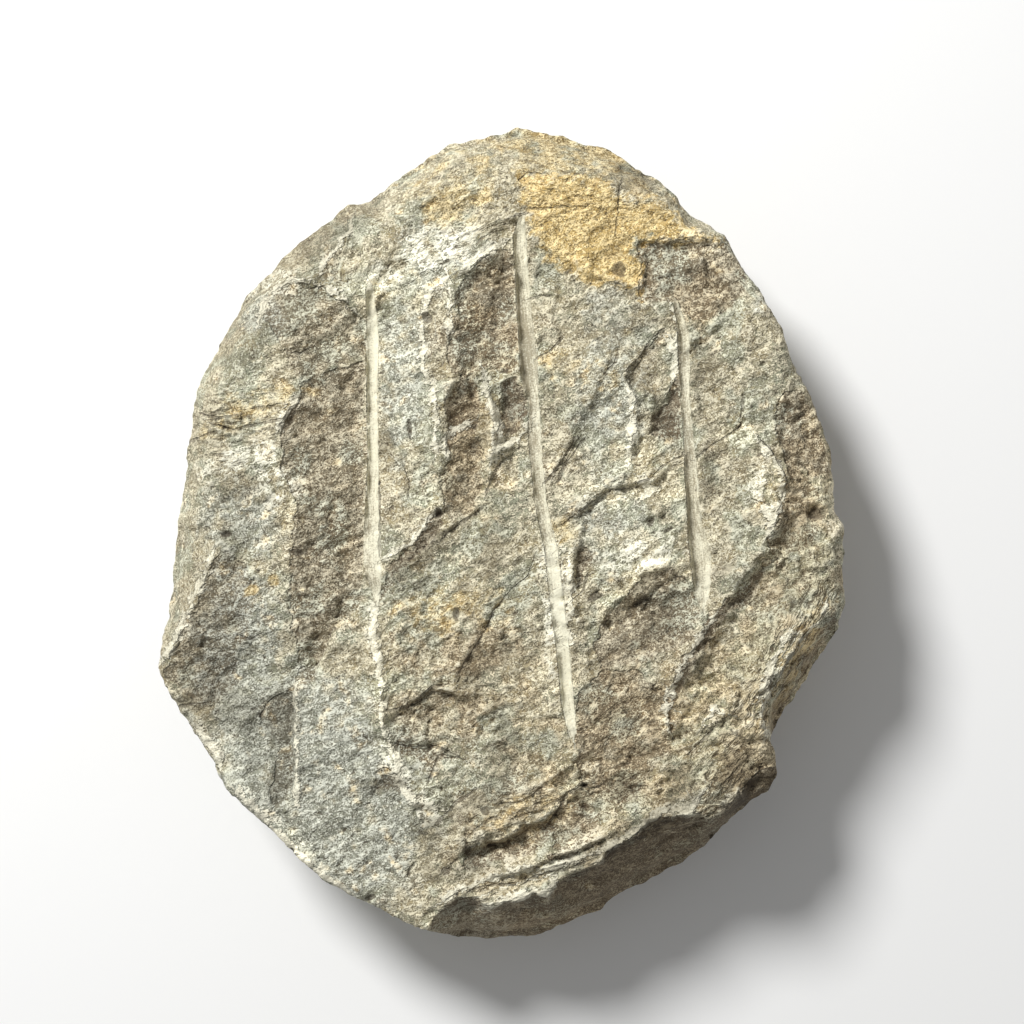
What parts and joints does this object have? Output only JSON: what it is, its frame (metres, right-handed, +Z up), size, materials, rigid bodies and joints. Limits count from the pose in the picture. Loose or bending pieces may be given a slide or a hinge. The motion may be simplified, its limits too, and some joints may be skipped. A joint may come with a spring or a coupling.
{
  "type": "limestone fossil matrix slab",
  "caption": "Rough broken slab of fossil matrix limestone with parallel saw cuts across its upper face.",
  "frame": {"origin": "on the ground under the middle of the slab, at the centre of its box", "axes": "+Z up from the ground through the sawn face, +Y along the slab's length and its saw cuts, +X across it"},
  "size_m": [0.1374, 0.1616, 0.036],
  "materials": {
    "stone": "rough broken limestone, grey-green to tan, with pale sawn cuts and an ochre stain"
  },
  "bodies": {
    "root": {"stone_slab": "stone"}
  },
  "joints": []
}
